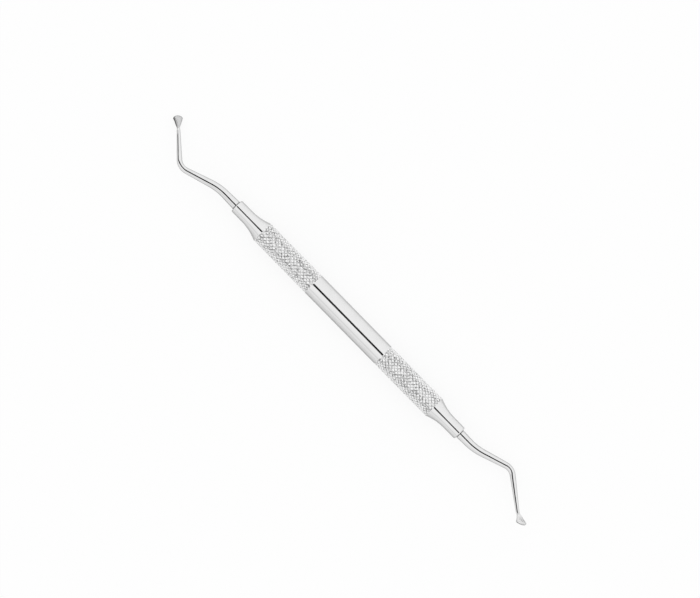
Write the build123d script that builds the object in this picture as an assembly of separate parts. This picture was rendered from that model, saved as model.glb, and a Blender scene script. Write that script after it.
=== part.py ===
from build123d import *
from math import cos, pi, sin, sqrt
import os

# Double-ended bone curette in stainless steel. Millimetres and degrees.
# It is modelled with the handle's axis on X and both ends bent in the XY plane, and is then
# laid down as it rests on a table, rolled over until the left end's spoon touches.

# Handle: one bar, turned, knurled in two bands and bored at each end
handle_length = 104.3
handle_diameter = 7.85
grip_length = 32.5
band_length = 23.8
collar_diameter = 4.9
collar_length = 4.9
collar_edge_radius = 0.5

# Knurl: two crossing sets of helical grooves at 45 degrees, which leave rows of pointed
# diamonds. The pitch is square across the grooves, and the tips lie a little below the grip.
knurl_pitch = 1.03
knurl_depth = 0.28
knurl_skim = 0.03

# Socket in the handle and the tang that is pressed into it
tang_diameter = 2.4
tang_length = 9.5
tang_chamfer = 0.3
socket_clearance = 0.01
socket_end_gap = 0.3
shoulder_chamfer = 0.15

# Shank, the bent and tapered rod between the collar and the spoon
shank_diameter = 3.25
neck_diameter = 1.2
first_bend_radius = 18.0
second_bend_radius = 4.0

# Each end: distances along the shank from corner to corner, the turn at each corner, the turn
# of the spoon on the shank and the width that the waist in front of the spoon is ground to
left_end_sizes = {"first_run": 8.25, "first_turn": 20.0, "middle_run": 14.5,
                  "second_turn": 65.0, "last_run": 12.8, "spoon_turn": 0.5, "waist": 0.95}
right_end_sizes = {"first_run": 7.0, "first_turn": 19.5, "middle_run": 14.0,
                   "second_turn": 60.0, "last_run": 14.8, "spoon_turn": 11.0, "waist": 1.2}

# Spoon, measured from the neck along its own middle line. Its rim lies above the middle line,
# and it widens in straight lines from its waist to its widest place.
spoon_length = 5.2
spoon_width = 3.2
spoon_depth = 0.95
spoon_waist_at = 1.0
spoon_widest_at = 4.2
spoon_side_inset = 0.02
toe_thickness = 0.3
toe_spread = 0.6
rim_height = 0.22
rim_land = 0.2
bowl_depth = 0.62
bowl_start = 1.9
bowl_deepest_at = 3.75
grinding_start = 1.9
grinding_radius = 1.5

# Sections of the spoon's back from its waist to its widest place: the share of the way there,
# and the shares of the full rise and depth
spoon_back = ((0, 0.2, 0.6), (0.33, 0.7, 0.85), (0.67, 1, 1), (1, 1, 0.95))

# How the roll that it comes to rest at is found: halving the range up to the steepest roll
# that it can have
steepest_roll = 60.0
roll_halvings = 16

# Derived sizes
handle_radius = handle_diameter / 2
collar_radius = collar_diameter / 2
tang_radius = tang_diameter / 2
collar_face = handle_length / 2
flare_start = collar_face - collar_length
band_inner_end = grip_length / 2
band_outer_end = band_inner_end + band_length
diamond_length = knurl_pitch * sqrt(2)
knurl_starts = round(pi * handle_diameter / diamond_length)
knurl_steps = round(2 * band_length / diamond_length)


def handle_end_shell():
    """Flare, collar, rounded edge, end face and blind socket of the +X end, as one skin."""
    socket_radius = tang_radius + socket_clearance
    socket_bottom = collar_face - tang_length - socket_end_gap
    flare = TangentArc((flare_start, collar_radius), (band_outer_end, handle_radius),
                       tangent=(-1, 0))
    edge_start = collar_face - collar_edge_radius
    collar = Line((flare_start, collar_radius), (edge_start, collar_radius))
    edge = TangentArc((edge_start, collar_radius),
                      (collar_face, collar_radius - collar_edge_radius), tangent=(1, 0))
    socket = Polyline((collar_face, collar_radius - collar_edge_radius),
                      (collar_face, socket_radius), (socket_bottom, socket_radius),
                      (socket_bottom, 0))
    return Shell.revolve(Wire([flare, collar, edge] + socket.edges()), 360, Axis.X)


def knurl_node(band_start, half_pitch, step, side):
    """Corner of the diamond pattern: a point where grooves cross, or the tip of a diamond."""
    tip_radius = handle_radius - knurl_skim
    is_tip = (step + side) % 2 == 1
    radius = tip_radius if is_tip else tip_radius - knurl_depth
    angle = pi * side / knurl_starts
    return Vector(band_start + step * half_pitch, radius * cos(angle), radius * sin(angle))


def knurl_band(band_start):
    """Faces of one knurled band that runs from band_start towards +X, with its square ends."""
    half_pitch = band_length / knurl_steps
    sides = 2 * knurl_starts

    def node(step, side):
        return knurl_node(band_start, half_pitch, step, side % sides)

    def facet(*corners):
        return Face(Wire.make_polygon(corners, close=True))

    faces = []
    for step in range(knurl_steps + 1):
        for side in range(sides):
            if (step + side) % 2 == 0:
                continue
            tip = node(step, side)
            if step < knurl_steps:
                faces.append(facet(tip, node(step, side - 1), node(step + 1, side)))
                faces.append(facet(tip, node(step + 1, side), node(step, side + 1)))
            if step > 0:
                faces.append(facet(tip, node(step, side + 1), node(step - 1, side)))
                faces.append(facet(tip, node(step - 1, side), node(step, side - 1)))
    for step in (0, knurl_steps):
        end_plane = Plane(origin=(band_start + step * half_pitch, 0, 0),
                          x_dir=(0, 1, 0), z_dir=(1, 0, 0))
        ring = Wire(Edge.make_circle(handle_radius, end_plane))
        teeth = Wire.make_polygon([node(step, side) for side in range(sides)], close=True)
        faces.append(Face(ring, [teeth]))
    return faces


def turned_handle():
    """The whole handle: a closed skin of turned surfaces and knurled bands, filled solid."""
    right_end = handle_end_shell()
    grip = Shell.revolve(Wire([Line((-band_inner_end, handle_radius),
                                    (band_inner_end, handle_radius))]), 360, Axis.X)
    faces = list(grip.faces())
    faces += right_end.faces()
    faces += right_end.mirror(Plane.YZ).faces()
    faces += knurl_band(band_inner_end)
    faces += knurl_band(-band_outer_end)
    return Solid(Shell(faces))


def shank_path(sizes):
    """Middle line of a shank from the collar's face to the neck, in the bend plane."""
    heading = sizes["first_turn"]
    corner = Vector(sizes["first_run"], 0)
    second = corner + Vector(sizes["middle_run"], 0).rotate(Axis.Z, heading)
    heading -= sizes["second_turn"]
    neck = second + Vector(sizes["last_run"], 0).rotate(Axis.Z, heading)
    return FilletPolyline((0, 0), corner, second, neck,
                          radius=[first_bend_radius, second_bend_radius]), heading


def disc(at, along, radius, height=None):
    """Round or oval section across the shank or spoon, level with the bend plane."""
    plane = Plane(origin=at, x_dir=(0, 0, 1), z_dir=along)
    shape = Circle(radius) if height is None else Ellipse(height, radius)
    return plane * shape


def shank(path):
    """Tapered rod swept along the bent middle line."""
    sections = []
    lengths = [edge.length for edge in path.edges()]
    whole = sum(lengths)
    run = 0
    for length in [0] + lengths:
        run += length
        share = run / whole
        radius = (shank_diameter + (neck_diameter - shank_diameter) * share) / 2
        sections.append(disc(path @ share, path % share, radius))
    return sweep(sections, path=path, multisection=True)


def spoon(waist_width, lean):
    """Spoon with its neck at the origin, pointing along X, hollow side up. The neck's own
    section leans with the shank, so that the spoon turns away from it within the waist."""
    along = Vector(1, 0, 0)
    sections = [disc((0, 0, 0), along.rotate(Axis.Z, lean), neck_diameter / 2)]
    full_width = spoon_width - 2 * spoon_side_inset
    for share, rise, depth in spoon_back:
        at = spoon_waist_at + (spoon_widest_at - spoon_waist_at) * share
        width = waist_width + (full_width - waist_width) * share
        sections.append(disc((at, 0, rim_height * rise), along, width / 2, spoon_depth * depth))
    past_toe = (spoon_length + toe_thickness, 0, rim_height)
    sections.append(disc(past_toe, along, toe_spread * spoon_width, toe_thickness))
    return (loft(sections) & outline_cutter()) - face_cutter() - bowl_cutter()


def outline_cutter():
    """Upright block with the spoon's outline seen from above: parallel sides, oval toe."""
    toe = Ellipse(spoon_length - spoon_widest_at, spoon_width / 2)
    behind = Rectangle(2 * spoon_length, spoon_width, align=(Align.MAX, Align.CENTER))
    return Pos(spoon_widest_at, 0, 0) * extrude(toe + behind, spoon_width, both=True)


def face_cutter():
    """Block and wheel that grind the neck's upper side down to the rim."""
    face = Box(spoon_length, 2 * spoon_width, spoon_width,
               align=(Align.MIN, Align.CENTER, Align.MIN))
    wheel = Pos(0, 0, grinding_radius) * Rot(X=90) * Cylinder(grinding_radius, 2 * spoon_width)
    return Pos(grinding_start, 0, rim_height) * (face + wheel)


def bowl_cutter():
    """Egg-shaped barrel, turned about a line above the rim, that leaves the hollow."""
    half_width = spoon_width / 2 - rim_land
    barrel_radius = (half_width ** 2 + bowl_depth ** 2) / (2 * bowl_depth)
    lift = barrel_radius - bowl_depth
    bowl_end = spoon_length - rim_land
    deepest = (bowl_deepest_at, barrel_radius)
    front = TangentArc(deepest, (bowl_end, lift), tangent=(1, 0))
    back = TangentArc(deepest, (bowl_start, lift), tangent=(-1, 0))
    sides = Polyline((bowl_end, lift), (bowl_end, 0), (bowl_start, 0), (bowl_start, lift))
    return Pos(0, 0, rim_height + lift) * revolve(make_face([front, back, sides]), Axis.X)


def tang():
    """Parallel tang with a chamfered tip, and the chamfered shoulder that meets the collar."""
    rod = Pos(-tang_length / 2, 0, 0) * Rot(Y=90) * Cylinder(tang_radius, tang_length)
    tip = rod.faces().sort_by(Axis.X)[0]
    return chamfer(tip.edges(), tang_chamfer)


def working_end(sizes, hollow_up):
    """One forged end, seated on the +X collar and bent towards +Y."""
    path, heading = shank_path(sizes)
    rod = shank(path)
    shoulder = rod.faces().sort_by(Axis.X)[0]
    rod = chamfer(shoulder.edges(), shoulder_chamfer)
    turn = Rot(Z=heading + sizes["spoon_turn"])
    lean = -sizes["spoon_turn"]
    if not hollow_up:
        turn = turn * Rot(X=180)
        lean = -lean
    blade = Location(path @ 1) * turn * spoon(sizes["waist"], lean)
    return Pos(collar_face, 0, 0) * (tang() + rod + blade)


handle = turned_handle()
right_end = working_end(right_end_sizes, hollow_up=True)
left_end = Rot(Z=180) * working_end(left_end_sizes, hollow_up=False)


def drop(shape, roll):
    """How far a shape reaches below the handle's axis once the instrument is rolled."""
    return -(Rot(X=-roll) * shape).bounding_box().min.Z


def resting_roll():
    """Roll about the handle's axis at which the left spoon just touches the table."""
    low, high = 0.0, steepest_roll
    for _ in range(roll_halvings):
        roll = (low + high) / 2
        if drop(left_end, roll) < handle_radius:
            low = roll
        else:
            high = roll
    return low


lay_down = Pos(0, 0, handle_radius) * Rot(X=-resting_roll())
pieces = {"handle": handle, "left_working_end": left_end, "right_working_end": right_end}
pieces = {name: lay_down * piece for name, piece in pieces.items()}

box = Compound(list(pieces.values())).bounding_box()
to_origin = Pos(-box.center().X, -box.center().Y, -box.min.Z)
os.makedirs("parts", exist_ok=True)
for name, piece in pieces.items():
    export_step(to_origin * piece, f"parts/{name}.step")
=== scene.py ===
from math import atan2, cos, pi, radians, sin, sqrt, tan
from random import Random

import bmesh
import bpy
from mathutils import Matrix, Vector


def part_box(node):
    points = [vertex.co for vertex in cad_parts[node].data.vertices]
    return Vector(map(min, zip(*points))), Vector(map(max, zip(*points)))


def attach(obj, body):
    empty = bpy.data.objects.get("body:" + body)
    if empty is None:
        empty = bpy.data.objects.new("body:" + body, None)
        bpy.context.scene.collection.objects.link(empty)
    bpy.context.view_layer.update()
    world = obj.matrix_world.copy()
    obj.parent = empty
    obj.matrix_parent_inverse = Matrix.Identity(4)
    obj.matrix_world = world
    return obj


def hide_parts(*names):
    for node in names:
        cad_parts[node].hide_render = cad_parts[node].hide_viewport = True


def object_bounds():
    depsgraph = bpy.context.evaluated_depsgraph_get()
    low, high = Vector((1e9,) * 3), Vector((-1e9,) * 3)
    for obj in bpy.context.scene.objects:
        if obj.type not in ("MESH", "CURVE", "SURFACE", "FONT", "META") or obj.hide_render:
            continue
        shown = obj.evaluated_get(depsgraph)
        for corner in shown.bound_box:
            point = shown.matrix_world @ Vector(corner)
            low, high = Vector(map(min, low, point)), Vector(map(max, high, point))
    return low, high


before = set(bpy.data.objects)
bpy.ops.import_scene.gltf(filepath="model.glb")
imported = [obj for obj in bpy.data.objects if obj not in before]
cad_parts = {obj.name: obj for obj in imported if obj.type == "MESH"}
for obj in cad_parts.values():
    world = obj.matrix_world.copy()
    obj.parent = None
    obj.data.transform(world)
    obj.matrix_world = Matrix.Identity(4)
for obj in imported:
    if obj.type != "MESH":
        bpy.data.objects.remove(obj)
cad_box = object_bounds()

# Handle: one bar of stainless steel, turned to shape. A smooth grip lies between two knurled
# bands, and each end is necked down through a hollow flare to a collar bored for the tang.
mm = 0.001
handle_low, handle_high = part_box("handle")
handle_middle = (handle_low + handle_high) / 2
handle_radius = (handle_high.z - handle_low.z) / 2 / mm
collar_face = (handle_high.x - handle_low.x) / 2 / mm
grip_length = 32.5
band_length = 23.8
collar_radius = 2.45
collar_length = 4.9
collar_edge_radius = 0.5
socket_radius = 1.21
socket_depth = 9.8
turning_steps = 204
flare_steps = 20
edge_steps = 6
handle_sharp_angle = 28
merge_distance = 0.0001

band_start = grip_length / 2
band_end = band_start + band_length
flare_end = collar_face - collar_length


def line_to(bm, start, x, radius):
    """Draws the turned outline on from its last point, which may be none."""
    end = bm.verts.new((x, 0, radius))
    if start:
        bm.edges.new((start, end))
    return end


def arc_on(bm, start, centre_x, centre_radius, degrees, steps):
    """Draws the turned outline on round a centre."""
    centre = (centre_x, 0, centre_radius)
    arc = bmesh.ops.spin(bm, geom=[start], cent=centre, axis=(0, 1, 0),
                         angle=radians(degrees), steps=steps)
    return arc["geom_last"][0]


def turn_on_lathe(bm, outline):
    """Turns the drawn outline all the way round the handle's axis."""
    bmesh.ops.spin(bm, geom=outline, cent=(0, 0, 0), axis=(1, 0, 0), angle=2 * pi,
                   steps=turning_steps, use_merge=True)


bm = bmesh.new()
point = line_to(bm, None, 0, handle_radius)
line_to(bm, point, band_start, handle_radius)
flare_run = flare_end - band_end
flare_rise = handle_radius - collar_radius
flare_radius = (flare_run ** 2 + flare_rise ** 2) / (2 * flare_rise)
flare_turn = atan2(flare_run, flare_radius - flare_rise) * 180 / pi
point = line_to(bm, None, flare_end, collar_radius)
arc_on(bm, point, flare_end, collar_radius + flare_radius, flare_turn, flare_steps)
point = line_to(bm, point, collar_face - collar_edge_radius, collar_radius)
point = arc_on(bm, point, collar_face - collar_edge_radius, collar_radius - collar_edge_radius,
               90, edge_steps)
point = line_to(bm, point, collar_face, socket_radius)
point = line_to(bm, point, collar_face - socket_depth, socket_radius)
line_to(bm, point, collar_face - socket_depth, 0)
turn_on_lathe(bm, bm.verts[:] + bm.edges[:])
bmesh.ops.remove_doubles(bm, verts=bm.verts[:], dist=merge_distance)

# Knurled bands of the handle: rolled with crossing grooves at 45 degrees, which leave rows of
# small diamonds. The tips stand a little below the grip and are worn flat.
knurl_starts = 17
knurl_steps = 33
knurl_depth = 0.28
knurl_skim = 0.03
tip_half_width = 0.14
tip_drift = 0.04
tip_drift_seed = 7
knurled_material_index = 1
loop_tolerance = 0.001

knurl_pitch = band_length / knurl_steps * sqrt(2)
valley_radius = handle_radius - knurl_skim - knurl_depth


def grow_tube(bm, ring, move):
    """Extrudes the open end of a tube, moves the new end and gives its edges back."""
    grown = bmesh.ops.extrude_edge_only(bm, edges=ring)["geom"]
    ends = {part for part in grown if isinstance(part, bmesh.types.BMVert)}
    bmesh.ops.transform(bm, matrix=move, verts=list(ends))
    return [part for part in grown if isinstance(part, bmesh.types.BMEdge)
            and set(part.verts) <= ends]


def ring_at(bm, segments, place):
    """Makes a round ring of radius 1 across X, put in its place."""
    across = place @ Matrix.Rotation(radians(90), 4, "Y")
    made = bmesh.ops.create_circle(bm, segments=segments, radius=1, matrix=across)
    return list({edge for vert in made["verts"] for edge in vert.link_edges})


half_pitch = band_length / knurl_steps
around = 2 * knurl_starts
start_place = (Matrix.Translation((band_start, 0, 0))
               @ Matrix.Diagonal((1, valley_radius, valley_radius, 1)))
ring = ring_at(bm, around, start_place)
rows = [ring]
for _ in range(knurl_steps):
    ring = grow_tube(bm, ring, Matrix.Translation((half_pitch, 0, 0)))
    rows.append(ring)


def knurl_place(vert):
    """Row along the band and place round it of one point of the tube."""
    step = round((vert.co.x - band_start) / half_pitch)
    side = round(atan2(vert.co.z, vert.co.y) / (pi / knurl_starts) - ring_phase)
    return step, side


first = rows[0][0].verts[0].co
ring_phase = atan2(first.z, first.y) / (pi / knurl_starts) % 1
knurl_verts = list({vert for row in rows for edge in row for vert in edge.verts})
tips = [vert for vert in knurl_verts if sum(knurl_place(vert)) % 2]
crossings = [vert for vert in knurl_verts if sum(knurl_place(vert)) % 2 == 0]
bmesh.ops.connect_verts(bm, verts=crossings)
inner_tips = [vert for vert in tips if 0 < knurl_place(vert)[0] < knurl_steps]
bmesh.ops.dissolve_verts(bm, verts=inner_tips)
border_tips = [vert for vert in tips if vert.is_valid]
knurl_faces = list({face for vert in crossings for face in vert.link_faces})
diamonds = [face for face in knurl_faces if not set(face.verts) & set(border_tips)]
lift = (valley_radius + knurl_depth) / valley_radius
bmesh.ops.scale(bm, vec=(1, lift, lift), verts=border_tips)
made = bmesh.ops.inset_individual(bm, faces=diamonds, thickness=knurl_pitch / 2 - tip_half_width,
                                  depth=knurl_depth, use_even_offset=True)
unevenness = Random(tip_drift_seed)
for face in diamonds:
    drift = [unevenness.uniform(-tip_drift, tip_drift) for _ in range(3)]
    bmesh.ops.translate(bm, vec=drift, verts=face.verts)
for face in knurl_faces + made["faces"]:
    face.material_index = knurled_material_index

for x in (band_start, band_end):
    loops = [edge for edge in bm.edges
             if edge.is_boundary
             and all(abs(vert.co.x - x) < loop_tolerance for vert in edge.verts)]
    bmesh.ops.bridge_loops(bm, edges=loops)
bmesh.ops.mirror(bm, geom=bm.verts[:] + bm.edges[:] + bm.faces[:], axis="X",
                 merge_dist=merge_distance)
bmesh.ops.remove_doubles(bm, verts=bm.verts[:], dist=merge_distance)
bmesh.ops.recalc_face_normals(bm, faces=bm.faces[:])
bmesh.ops.transform(bm, verts=bm.verts[:],
                    matrix=Matrix.Translation(handle_middle) @ Matrix.Scale(mm, 4))


def finished_piece(name, bm, materials, sharp_degrees, nodes):
    """Makes the mesh an object on the frame that stands for its CAD node."""
    mesh = bpy.data.meshes.new(name)
    bm.to_mesh(mesh)
    bm.free()
    mesh.shade_smooth()
    mesh.set_sharp_from_angle(angle=radians(sharp_degrees))
    for material in materials:
        mesh.materials.append(material)
    piece = bpy.data.objects.new(name, mesh)
    bpy.context.scene.collection.objects.link(piece)
    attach(piece, "root")
    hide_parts(nodes)


def node_adder(tree):
    """A helper that adds a node to a tree. Terms go to its sockets in order and the other inputs
    to its sockets by name, and each of them is a value or another node's output."""
    def add(kind, settings=None, terms=(), **inputs):
        node = tree.nodes.new(kind)
        for key, value in (settings or {}).items():
            setattr(node, key, value)
        given = list(zip(node.inputs, terms))
        given += [(node.inputs[key.replace("_", " ")], value) for key, value in inputs.items()]
        for socket, value in given:
            if isinstance(value, bpy.types.NodeSocket):
                tree.links.new(value, socket)
            else:
                socket.default_value = value
        return node

    return add


def calculator(add):
    """A helper that adds a Math node for an operation and its terms, and gives its result."""
    def calculate(operation, *terms):
        return add("ShaderNodeMath", {"operation": operation}, terms).outputs[0]

    return calculate


def ramp(add, value, low, high, start=0.0, end=1.0, interpolation="LINEAR"):
    """Goes from low to high while the value goes from start to end, and is level beyond them."""
    return add("ShaderNodeMapRange", {"interpolation_type": interpolation}, Value=value,
               From_Min=start, From_Max=end, To_Min=low, To_Max=high).outputs[0]


def noise(add, place, scale, detail):
    """Uneven pattern, with its own scale along each axis."""
    scaled = add("ShaderNodeMapping", Vector=place, Scale=scale)
    return add("ShaderNodeTexNoise", Vector=scaled.outputs[0], Scale=1.0,
               Detail=detail).outputs["Fac"]


def new_material(name):
    """An empty node material and the helper that adds its nodes."""
    material = bpy.data.materials.new(name)
    material.use_nodes = True
    return material, node_adder(material.node_tree)


def bare_metal(material, add, tone, roughness, bump):
    """Makes the material a bare grey metal with this tone, roughness and bump."""
    links = material.node_tree.links
    shader = material.node_tree.nodes["Principled BSDF"]
    colour = add("ShaderNodeCombineColor", Red=tone, Green=tone, Blue=tone)
    links.new(colour.outputs[0], shader.inputs["Base Color"])
    links.new(roughness, shader.inputs["Roughness"])
    links.new(bump, shader.inputs["Normal"])
    shader.inputs["Metallic"].default_value = 1.0
    return material


turning_scale = (9000, 60, 60)
turning_detail = 3.0
turning_strength = 0.25
turning_depth = 0.00001
turned_roughness = (0.04, 0.11)
turned_mottle_scale = (260, 260, 260)
turned_mottle_detail = 4.0
turned_tones = (0.80, 0.88)


def turned_steel():
    """Satin turned steel: fine rings round the axis and a faint uneven tone."""
    material, add = new_material("turned_steel")
    place = add("ShaderNodeTexCoord").outputs["Object"]
    rings = noise(add, place, turning_scale, turning_detail)
    mottle = noise(add, place, turned_mottle_scale, turned_mottle_detail)
    bump = add("ShaderNodeBump", Height=rings, Strength=turning_strength, Distance=turning_depth)
    return bare_metal(material, add, ramp(add, mottle, *turned_tones),
                      ramp(add, rings, *turned_roughness), bump.outputs[0])


# The groove share and groove tone are painted shade: the grooves are darkened to that tone at the
# bottom, up to full tone over that share of their depth.
groove_painted_shade_share = 0.28
groove_painted_shade_tone = 0.26
groove_roughness = 0.42
tip_roughness = 0.24
grain_scale = (1800, 1800, 1800)
grain_detail = 3.0
grain_depth = 0.00008
grain_range = (0.36, 0.58)
grain_tones = (0.5, 1.6)


def knurled_steel():
    """Rolled diamonds: bright on the worn tips, rougher and darkened by painted shade down in the
    grooves, and grainy.
    """
    material, add = new_material("knurled_steel")
    place = add("ShaderNodeTexCoord").outputs["Object"]
    centred = add("ShaderNodeVectorMath", {"operation": "SUBTRACT"},
                  (place, tuple(handle_middle)))
    across = add("ShaderNodeVectorMath", {"operation": "MULTIPLY"},
                 (centred.outputs[0], (0, 1, 1)))
    reach = add("ShaderNodeVectorMath", {"operation": "LENGTH"}, (across.outputs[0],))
    height = ramp(add, reach.outputs["Value"], 0.0, 1.0, valley_radius * mm,
                  (handle_radius - knurl_skim) * mm)
    grain = noise(add, place, grain_scale, grain_detail)
    # Painted shade: the tone darkens from the tips down into the grooves, under the grain.
    tone = add("ShaderNodeMath", {"operation": "MULTIPLY", "use_clamp": True},
               (ramp(add, height, groove_painted_shade_tone, 1.0, 0.0, groove_painted_shade_share),
                ramp(add, grain, *grain_tones, *grain_range)))
    bump = add("ShaderNodeBump", Height=grain, Strength=1.0, Distance=grain_depth)
    return bare_metal(material, add, tone.outputs[0],
                      ramp(add, height, groove_roughness, tip_roughness), bump.outputs[0])


finished_piece("turned_handle", bm, (turned_steel(), knurled_steel()), handle_sharp_angle,
               "handle")

# Working ends: each was forged from one rod of stainless steel, tapered, bent twice and ground to
# a small spoon with a hollow. The tang is pressed into the handle and the shoulder sits on the
# collar.
tang_radius = 1.2
tang_length = 9.5
tang_chamfer = 0.3
shoulder_chamfer = 0.15
shank_radius = 1.625
neck_radius = 0.6
rod_sharp_angle = 35
neck_merge_distance = 0.0005
mark_scale = (0.25, 14, 14)
mark_detail = 4.0
mark_strength = 0.1
mark_depth = 0.00001
rod_roughness = (0.02, 0.06)
rod_mottle_scale = (0.4, 0.8, 0.8)
rod_mottle_detail = 3.0
rod_tones = (0.78, 0.88)
seam_width = 0.26
seam_softness = 0.06
seam_tone = 0.45
dulling_start = 0.3
dulling_end = 0.4
spoon_roughness = 0.44
# Painted shade along the spoon's rim and a painted dark reflection along one side of it: where each
# begins, as a share of the way from the middle out to the edge, and its tone.
rim_painted_shade_from = 0.74
rim_painted_shade_tone = 0.5
painted_reflection_from = 0.62
painted_reflection_tone = 0.05
flats_around = 10
root_flatness = 0.38
neck_flatness = 0.72
rod_segments = 72
straight_steps = 6
bend_steps = 24
first_bend_radius = 18.0
second_bend_radius = 4.0
resting_roll = 26.432

# What differs between the two ends. Runs are measured to the corners of the shank's middle line,
# and angles are in degrees.
# The side given for each end is where a painted dark reflection runs along its spoon's rim; 0 gives
# none.
# The spoon tone of each end is painted light: the left spoon is painted darker than the shank and
# the right one lighter.
left_end = {"first_run": 8.25, "first_turn": 20.0, "middle_run": 14.5, "second_turn": -65.0,
            "last_run": 12.8, "spoon_turn": 0.5, "waist": 0.95, "toe_skew": 0.0,
            "toe_setback": 0.0, "flats_side": 1, "flat_start": 23.0, "flat_end": 34.0,
            "spoon_painted_light_tone": 0.84, "painted_reflection_side": -1}
right_end = {"first_run": 7.0, "first_turn": 19.5, "middle_run": 14.0, "second_turn": -60.0,
             "last_run": 14.8, "spoon_turn": 11.0, "waist": 1.2, "toe_skew": 0.45,
             "toe_setback": 0.58, "flats_side": -1, "flat_start": 32.5, "flat_end": 29.5,
             "spoon_painted_light_tone": 1.04, "painted_reflection_side": 0}

spoon_length = 5.2
spoon_half_width = 1.6
spoon_depth = 0.95
waist_at = 1.0
widest_at = 4.2
side_inset = 0.02
past_toe = 5.5
toe_half_width = 1.92
toe_half_height = 0.3
rim_height = 0.22
rim_land = 0.2
bowl_depth = 0.62
bowl_start = 1.9
bowl_deepest_at = 3.75
grinding_start = 1.9
grinding_radius = 1.5
cutter_segments = 160
spoon_steps = 48
side_tolerance = 0.0001

# Sections of the spoon's back from its waist to its widest place: the share of the way there, and
# the shares of the rim's height and of the spoon's depth.
spoon_back = ((0, 0.2, 0.6), (0.33, 0.7, 0.85), (0.67, 1, 1), (1, 1, 0.95))


def shank_moves(sizes):
    """The small moves, with their lengths, that follow the shank's bent middle line."""
    first_cut = first_bend_radius * tan(radians(sizes["first_turn"]) / 2)
    second_cut = second_bend_radius * tan(radians(-sizes["second_turn"]) / 2)
    legs = (("straight", sizes["first_run"] - first_cut),
            ("bend", sizes["first_turn"], first_bend_radius),
            ("straight", sizes["middle_run"] - first_cut - second_cut),
            ("bend", sizes["second_turn"], second_bend_radius),
            ("straight", sizes["last_run"] - second_cut))
    moves = []
    for leg in legs:
        if leg[0] == "straight":
            step = leg[1] / straight_steps
            moves += [(Matrix.Translation((step, 0, 0)), step)] * straight_steps
        else:
            angle = radians(leg[1]) / bend_steps
            side = Matrix.Translation((0, leg[2] if angle > 0 else -leg[2], 0))
            turn = side @ Matrix.Rotation(angle, 4, "Z") @ side.inverted()
            moves += [(turn, leg[2] * abs(angle))] * bend_steps
    return moves


def oval(place, half_width, half_height):
    """Matrix that takes a ring of radius 1 to an oval section at a place."""
    return place @ Matrix.Diagonal((1, half_width, half_height, 1))


def smooth_through(stations, x):
    """Value at x on a smooth curve through the stations, each a tuple with its x first."""
    last = len(stations) - 1
    span = next((i for i in range(last) if x <= stations[i + 1][0]), last - 1)

    def slope(i, k):
        low, high = max(i - 1, 0), min(i + 1, last)
        return (stations[high][k] - stations[low][k]) / (stations[high][0] - stations[low][0])

    a, b = stations[span], stations[span + 1]
    width = b[0] - a[0]
    t = (x - a[0]) / width
    values = []
    for k in range(1, len(a)):
        lead, trail = slope(span, k) * width, slope(span + 1, k) * width
        values.append((2 * t ** 3 - 3 * t ** 2 + 1) * a[k] + (t ** 3 - 2 * t ** 2 + t) * lead
                      + (3 * t ** 2 - 2 * t ** 3) * b[k] + (t ** 3 - t ** 2) * trail)
    return values


def mesh_object(name, bm):
    """A plain object for a cut, which is deleted when the cut is made."""
    mesh = bpy.data.meshes.new(name)
    bmesh.ops.recalc_face_normals(bm, faces=bm.faces[:])
    bm.to_mesh(mesh)
    bm.free()
    thing = bpy.data.objects.new(name, mesh)
    bpy.context.scene.collection.objects.link(thing)
    return thing


def stretched_wheel(name, size_x, size_y, stretch, place):
    """Round prism along local Z, with the half that lies on one side pulled out straight."""
    bm = bmesh.new()
    bmesh.ops.create_circle(bm, cap_ends=True, segments=cutter_segments, radius=1)
    bmesh.ops.transform(bm, matrix=Matrix.Diagonal((size_x, size_y, 1, 1)), verts=bm.verts[:])
    pulled = [vert for vert in bm.verts if vert.co.x * stretch > side_tolerance]
    bmesh.ops.translate(bm, vec=(stretch, 0, 0), verts=pulled)
    bmesh.ops.translate(bm, vec=(0, 0, -spoon_length), verts=bm.verts[:])
    grown = bmesh.ops.extrude_face_region(bm, geom=bm.faces[:])["geom"]
    ends = [part for part in grown if isinstance(part, bmesh.types.BMVert)]
    bmesh.ops.translate(bm, vec=(0, 0, 2 * spoon_length), verts=ends)
    bmesh.ops.transform(bm, matrix=place, verts=bm.verts[:])
    return mesh_object(name, bm)


def bowl_barrel():
    """Egg-shaped barrel, turned about a line above the rim, that cuts the hollow."""
    half_width = spoon_half_width - rim_land
    barrel_radius = (half_width ** 2 + bowl_depth ** 2) / (2 * bowl_depth)
    lift = barrel_radius - bowl_depth
    bm = bmesh.new()
    deepest = line_to(bm, None, bowl_deepest_at, barrel_radius)
    for end_x in (spoon_length - rim_land, bowl_start):
        run = abs(end_x - bowl_deepest_at)
        radius = (run ** 2 + bowl_depth ** 2) / (2 * bowl_depth)
        turn = atan2(run, radius - bowl_depth) * 180 / pi
        side = 1 if end_x > bowl_deepest_at else -1
        end = arc_on(bm, deepest, bowl_deepest_at, barrel_radius - radius, side * turn, bend_steps)
        line_to(bm, end, end_x, 0)
    bmesh.ops.spin(bm, geom=bm.verts[:] + bm.edges[:], cent=(0, 0, 0), axis=(1, 0, 0),
                   angle=2 * pi, steps=cutter_segments, use_merge=True)
    bmesh.ops.remove_doubles(bm, verts=bm.verts[:], dist=merge_distance)
    bmesh.ops.translate(bm, vec=(0, 0, rim_height + lift), verts=bm.verts[:])
    return mesh_object("bowl_barrel", bm)


def cut(blank, cutters):
    """Cuts a blank with each (operation, cutter) in turn and gives the result as a bmesh."""
    for operation, cutter in cutters:
        modifier = blank.modifiers.new(cutter.name, "BOOLEAN")
        modifier.operation = operation
        modifier.solver = "EXACT"
        modifier.object = cutter
    bpy.context.view_layer.update()
    graph = bpy.context.evaluated_depsgraph_get()
    mesh = bpy.data.meshes.new_from_object(blank.evaluated_get(graph))
    bm = bmesh.new()
    bm.from_mesh(mesh)
    for thing in [blank] + [cutter for _, cutter in cutters]:
        bpy.data.objects.remove(thing)
    return bm


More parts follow.
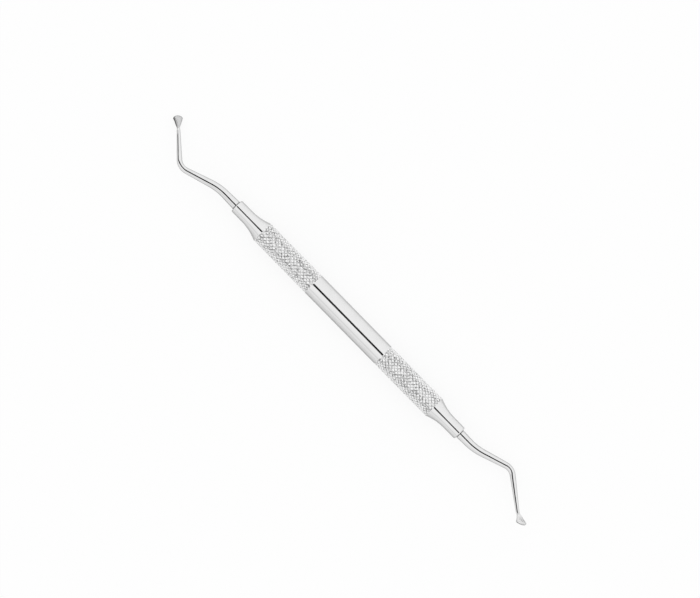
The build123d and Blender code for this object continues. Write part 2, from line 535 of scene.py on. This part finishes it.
def ground_spoon(sizes, lean):
    """Spoon with its open neck at the origin, along X, hollow side up."""
    full = spoon_half_width - side_inset
    half_waist = sizes["waist"] / 2
    stations = [(0, 0, neck_radius, neck_radius)]
    for share, rise, depth in spoon_back:
        stations.append((waist_at + (widest_at - waist_at) * share, rim_height * rise,
                         half_waist + (full - half_waist) * share, spoon_depth * depth))
    stations.append((past_toe, rim_height, toe_half_width, toe_half_height))
    bm = bmesh.new()
    old = oval(Matrix.Rotation(lean, 4, "Z"), neck_radius, neck_radius)
    ring = ring_at(bm, rod_segments, old)
    neck = list(ring)
    for step in range(1, spoon_steps + 1):
        x = past_toe * step / spoon_steps
        rise, half_width, half_height = smooth_through(stations, x)
        new = oval(Matrix.Translation((x, 0, rise)), half_width, half_height)
        ring = grow_tube(bm, ring, new @ old.inverted())
        old = new
    bmesh.ops.edgeloop_fill(bm, edges=neck)
    bmesh.ops.edgeloop_fill(bm, edges=ring)
    blank = mesh_object("spoon_blank", bm)
    outline = stretched_wheel("spoon_outline", spoon_length - widest_at, spoon_half_width,
                              -2 * spoon_length, Matrix.Translation((widest_at, 0, 0)))
    wheel_place = Matrix.Translation((grinding_start, 0, rim_height + grinding_radius))
    wheel = stretched_wheel("grinding_wheel", grinding_radius, grinding_radius,
                            2 * spoon_length, wheel_place @ Matrix.Rotation(radians(90), 4, "X"))
    return cut(blank, [("INTERSECT", outline), ("DIFFERENCE", wheel),
                       ("DIFFERENCE", bowl_barrel())])


def working_end(name, node, sizes, about, hollow_up):
    """One working end from its tang to its spoon, put in its place on the handle."""
    moves = shank_moves(sizes)
    whole = sum(length for _, length in moves)
    bm = bmesh.new()
    straight = bm.verts.layers.float_vector.new("straight_rod")
    tang_stations = ((-tang_length, tang_radius - tang_chamfer),
                     (-tang_length + tang_chamfer, tang_radius), (0, tang_radius),
                     (0, shank_radius - shoulder_chamfer), (shoulder_chamfer, shank_radius))
    old = oval(Matrix.Translation((tang_stations[0][0], 0, 0)), tang_stations[0][1],
               tang_stations[0][1])
    ring = ring_at(bm, rod_segments, old)
    bmesh.ops.edgeloop_fill(bm, edges=list(ring))
    for x, radius in tang_stations[1:]:
        new = oval(Matrix.Translation((x, 0, 0)), radius, radius)
        ring = grow_tube(bm, ring, new @ old.inverted())
        old = new
    for vert in bm.verts:
        vert[straight] = vert.co
    place = Matrix.Identity(4)
    run = 0
    for move, length in moves:
        place = place @ move
        run += length
        radius = shank_radius + (neck_radius - shank_radius) * run / whole
        new = oval(place, radius, radius)
        ring = grow_tube(bm, ring, new @ old.inverted())
        for vert in {vert for edge in ring for vert in edge.verts}:
            vert[straight] = place.inverted() @ vert.co + Vector((run, 0, 0))
        old = new
    turn = Matrix.Rotation(radians(sizes["spoon_turn"]), 4, "Z")
    lean = -radians(sizes["spoon_turn"])
    if not hollow_up:
        turn = turn @ Matrix.Rotation(pi, 4, "X")
        lean = -lean
    spoon = ground_spoon(sizes, lean)
    spoon_straight = spoon.verts.layers.float_vector.new("straight_rod")
    for vert in spoon.verts:
        vert[spoon_straight] = vert.co + Vector((whole, 0, 0))
        share = max(0, (vert.co.x - waist_at) / (widest_at - waist_at))
        vert.co.x += share * (sizes["toe_skew"] * vert.co.y - sizes["toe_setback"])
    caps = [face for face in spoon.faces if len(face.verts) == rod_segments
            and face.calc_center_median().length < neck_radius]
    bmesh.ops.delete(spoon, geom=caps, context="FACES_ONLY")
    bmesh.ops.transform(spoon, matrix=place @ turn, verts=spoon.verts[:])
    passing = bpy.data.meshes.new("spoon")
    spoon.to_mesh(passing)
    spoon.free()
    bm.from_mesh(passing)
    bmesh.ops.remove_doubles(bm, verts=bm.verts[:], dist=neck_merge_distance)
    bmesh.ops.recalc_face_normals(bm, faces=bm.faces[:])
    roll = Matrix.Rotation(-radians(resting_roll), 4, "X")
    seat = Matrix.Translation((collar_face, 0, 0))
    whole_place = Matrix.Translation(handle_middle) @ Matrix.Scale(mm, 4) @ roll @ about @ seat
    bmesh.ops.transform(bm, matrix=whole_place, verts=bm.verts[:])
    finished_piece(name, bm, (polished_steel(name, whole, sizes),), rod_sharp_angle, node)


def painted_rim_darkening(add, calculate, along, aside, on_spoon, shank_length, sizes):
    """Tone of the spoon's rim: painted shade darkens it all round, and a painted dark reflection
    darkens it most along one side, if it has one.
    """
    edge = ramp(add, along, sizes["waist"] / 2, spoon_half_width, shank_length + waist_at,
                shank_length + widest_at)
    sideways = calculate("DIVIDE", aside, edge)
    past_widest = calculate("MAXIMUM", calculate("SUBTRACT", along, shank_length + widest_at), 0.0)
    forward = calculate("DIVIDE", past_widest, spoon_length - widest_at)
    to_rim = calculate("SQRT", calculate("ADD", calculate("MULTIPLY", sideways, sideways),
                                         calculate("MULTIPLY", forward, forward)))
    # Painted shade all round the rim.
    painted_rim_shade_share = calculate("MULTIPLY", ramp(add, to_rim, 0.0, 1.0, rim_painted_shade_from, 1.0), on_spoon)
    # Painted dark reflection along one side of the rim.
    toward_painted_reflection = calculate("MULTIPLY", sideways, sizes["painted_reflection_side"])
    painted_reflection_share = calculate("MULTIPLY", ramp(add, toward_painted_reflection, 0.0, 1.0, painted_reflection_from, 1.0), on_spoon)
    return calculate("MULTIPLY", calculate("MULTIPLY_ADD", painted_rim_shade_share, rim_painted_shade_tone - 1, 1.0),
                     calculate("MULTIPLY_ADD", painted_reflection_share, painted_reflection_tone - 1, 1.0))


def flats_height(add, calculate, place, rod_axes, on_spoon, shank_length, sizes):
    """Height in mm of soft flats, which turn and deepen along the rod and end at the spoon."""
    run_share = calculate("DIVIDE", rod_axes["X"], shank_length)
    flat_at = calculate("MULTIPLY_ADD", run_share,
                        radians(sizes["flat_end"] - sizes["flat_start"]),
                        radians(sizes["flat_start"]))
    flatness = calculate("MULTIPLY_ADD", run_share, neck_flatness - root_flatness, root_flatness)
    aside = calculate("MULTIPLY", rod_axes["Y"], sizes["flats_side"])
    angle = calculate("SUBTRACT", calculate("ARCTAN2", aside, rod_axes["Z"]), flat_at)
    turns = calculate("MULTIPLY_ADD", angle, flats_around / (2 * pi), 0.5)
    off_centre = calculate("SUBTRACT", calculate("FRACT", turns), 0.5)
    bulge = calculate("MULTIPLY", flatness, (2 * pi / flats_around) ** 2 / 2)
    rise = calculate("MULTIPLY", calculate("MULTIPLY", off_centre, off_centre), bulge)
    across = add("ShaderNodeVectorMath", {"operation": "MULTIPLY"}, (place, (0, 1, 1)))
    radius = add("ShaderNodeVectorMath", {"operation": "LENGTH"}, (across.outputs[0],))
    return calculate("MULTIPLY", calculate("MULTIPLY", rise, radius.outputs["Value"]),
                     calculate("SUBTRACT", 1.0, on_spoon))


def polished_steel(name, shank_length, sizes):
    """Polished steel: faint marks and soft flats along the rod, a dark seam at its shoulder and
    a spoon that was ground and left rougher than the shank. The spoon's tone is painted light, and
    its rim is darkened by painted shade and a painted dark reflection."""
    material, add = new_material("polished_" + name)
    calculate = calculator(add)
    place = add("ShaderNodeAttribute", {"attribute_name": "straight_rod"}).outputs["Vector"]
    rod_axes = add("ShaderNodeSeparateXYZ", Vector=place).outputs
    along = rod_axes["X"]
    marks = noise(add, place, mark_scale, mark_detail)
    mottle = noise(add, place, rod_mottle_scale, rod_mottle_detail)
    on_spoon = ramp(add, along, 0.0, 1.0, shank_length + dulling_start,
                    shank_length + waist_at + dulling_end)
    # Painted light: each spoon's tone is set apart from the shank's, darker on one end and lighter
    # on the other.
    spoon_painted_light = ramp(add, on_spoon, 1.0, sizes["spoon_painted_light_tone"])
    past_seam = ramp(add, along, seam_tone, 1.0, seam_width, seam_width + seam_softness)
    ground = calculate("MULTIPLY", ramp(add, mottle, *rod_tones), spoon_painted_light)
    tone = calculate("MULTIPLY", calculate("MULTIPLY", ground, past_seam),
                     painted_rim_darkening(add, calculate, along, rod_axes["Y"], on_spoon, shank_length, sizes))
    roughness = calculate("MULTIPLY_ADD", on_spoon, spoon_roughness,
                          ramp(add, marks, *rod_roughness))
    height = flats_height(add, calculate, place, rod_axes, on_spoon, shank_length, sizes)
    flats = add("ShaderNodeBump", Height=height, Strength=1.0, Distance=mm)
    bump = add("ShaderNodeBump", Height=marks, Strength=mark_strength, Distance=mark_depth,
               Normal=flats.outputs[0])
    return bare_metal(material, add, tone, roughness, bump.outputs[0])


working_end("right_curette_end", "right_working_end", right_end, Matrix.Identity(4), True)
working_end("left_curette_end", "left_working_end", left_end, Matrix.Rotation(pi, 4, "Z"), False)

# Floor: a plain white sheet. It looks white to the camera and keeps a faint contact shadow. In
# reflections it carries a painted shadow close beside the instrument, and painted shade that makes
# its -Y side darker than its +Y.
floor_size = 3.0
floor_albedo = 0.94
# Painted shade and painted shadow of the floor, seen only in reflections: the floor's albedo on the
# -Y and +Y sides, where the painted shadow beside the instrument starts fading and ends in mm
# either side of the floor's middle line, and its darkest share.
minus_painted_shade_albedo = 0.78
plus_painted_shade_albedo = 0.92
painted_shadow_start = 8.0
painted_shadow_end = 18.0
painted_shadow_share = 0.74
camera_white_share = 0.85
floor_bm = bmesh.new()
bmesh.ops.create_grid(floor_bm, x_segments=1, y_segments=1, size=floor_size,
                      matrix=Matrix.Translation((0, 0, cad_box[0].z)))
floor_mesh = bpy.data.meshes.new("floor")
floor_bm.to_mesh(floor_mesh)
floor_bm.free()
floor = bpy.data.objects.new("floor", floor_mesh)
bpy.context.scene.collection.objects.link(floor)
sheet, add = new_material("white_sheet")
calculate = calculator(add)
sheet_nodes = sheet.node_tree.nodes
sheet_nodes.remove(sheet_nodes["Principled BSDF"])
rays = add("ShaderNodeLightPath")
floor_place = add("ShaderNodeSeparateXYZ", Vector=add("ShaderNodeTexCoord").outputs["Object"])
beside = floor_place.outputs["Y"]
# Painted shade, seen only in reflections: the floor is darker on its -Y side.
painted_side_shade = ramp(add, beside, minus_painted_shade_albedo, plus_painted_shade_albedo, -handle_radius * mm,
                   handle_radius * mm)
# Painted shadow close beside the instrument, seen only in reflections.
painted_contact_shadow = ramp(add, calculate("ABSOLUTE", beside), painted_shadow_share, 1.0, painted_shadow_start * mm,
               painted_shadow_end * mm)
albedo_with_painted_shade = ramp(add, rays.outputs["Is Glossy Ray"], floor_albedo,
              calculate("MULTIPLY", painted_side_shade, painted_contact_shadow))
grey = add("ShaderNodeCombineColor", Red=albedo_with_painted_shade, Green=albedo_with_painted_shade, Blue=albedo_with_painted_shade)
diffuse = add("ShaderNodeBsdfDiffuse", Color=grey.outputs[0])
white = add("ShaderNodeEmission", Color=(1, 1, 1, 1), Strength=1.0)
white_share = calculate("MULTIPLY", rays.outputs["Is Camera Ray"], camera_white_share)
mixed = add("ShaderNodeMixShader", terms=(white_share, diffuse.outputs[0], white.outputs[0]))
sheet.node_tree.links.new(mixed.outputs[0], sheet_nodes["Material Output"].inputs["Surface"])
floor_mesh.materials.append(sheet)

# Light: a white tent all round, even for the camera and for diffuse light. Metal reflects it with a
# narrow dark gap of limited reach along its ridge over the handle, a faint line down its -Y side
# and walls that fall off towards their foot.

# Angles are in degrees from straight up towards +Y. The gap's shift and reach are along the handle,
# as shares of a direction's length.
gap_half_angle = 9.5
gap_softness = 0.5
gap_shift = 0.0625
gap_reach = 0.8075
gap_level = 0.02
side_line_at = -60.0
side_line_half_angle = 5.5
side_line_level = 0.85
wall_start = 15.0
wall_foot = 95.0
plus_wall_level = 0.95
minus_wall_level = 0.84
world = bpy.data.worlds.new("tent")
bpy.context.scene.world = world
world.use_nodes = True
world.node_tree.nodes.clear()
add = node_adder(world.node_tree)
calculate = calculator(add)
direction = add("ShaderNodeSeparateXYZ", Vector=add("ShaderNodeTexCoord").outputs["Generated"])
lean = calculate("ARCTAN2", direction.outputs["Y"], direction.outputs["Z"])


def band(centre, half_angle, level):
    """Brightness of the tent across a soft band of directions that runs along the handle."""
    offset = calculate("ABSOLUTE", calculate("SUBTRACT", lean, radians(centre)))
    return ramp(add, offset, level, 1.0, radians(half_angle - gap_softness),
                radians(half_angle + gap_softness), "SMOOTHSTEP")


def wall(side, foot_level):
    """Brightness of one side of the tent, which falls off evenly towards its foot."""
    return ramp(add, calculate("MULTIPLY", lean, side), 1.0, foot_level, radians(wall_start),
                radians(wall_foot))


def dark_part(level):
    """What is missing from white at a level of brightness."""
    return calculate("SUBTRACT", 1.0, level)


off_middle = calculate("ABSOLUTE", calculate("ADD", direction.outputs["X"], gap_shift))
within_reach = calculate("LESS_THAN", off_middle, gap_reach)
gap = calculate("MULTIPLY", within_reach, dark_part(band(0, gap_half_angle, gap_level)))
side_line = band(side_line_at, side_line_half_angle, side_line_level)
walls = calculate("MULTIPLY", wall(1.0, plus_wall_level), wall(-1.0, minus_wall_level))
mirrored = calculate("MULTIPLY", calculate("MULTIPLY", dark_part(gap), side_line), walls)
glossy = add("ShaderNodeLightPath").outputs["Is Glossy Ray"]
brightness = dark_part(calculate("MULTIPLY", glossy, dark_part(mirrored)))
background = add("ShaderNodeBackground", Color=(1, 1, 1, 1), Strength=brightness)
add("ShaderNodeOutputWorld", Surface=background.outputs[0])

# Camera: straight above, turned so that the handle runs from upper left to lower right.
photo_width = 700
pixel_size = 0.3271 * mm
photo_turn = radians(45.58)
handle_left_of_middle = 1.9
handle_below_middle = 20.6
camera_height = 1.5
camera_data = bpy.data.cameras.new("camera")
camera_data.lens = camera_data.sensor_width * mm * camera_height / (photo_width * pixel_size) / mm
camera = bpy.data.objects.new("camera", camera_data)
bpy.context.scene.collection.objects.link(camera)
right = Vector((cos(photo_turn), sin(photo_turn), 0))
up = Vector((-sin(photo_turn), cos(photo_turn), 0))
camera.location = (handle_middle + (right * handle_left_of_middle + up * handle_below_middle)
                   * pixel_size + Vector((0, 0, camera_height)))
camera.rotation_euler = (0, 0, photo_turn)
bpy.context.scene.camera = camera
bpy.context.scene.view_settings.view_transform = "Standard"
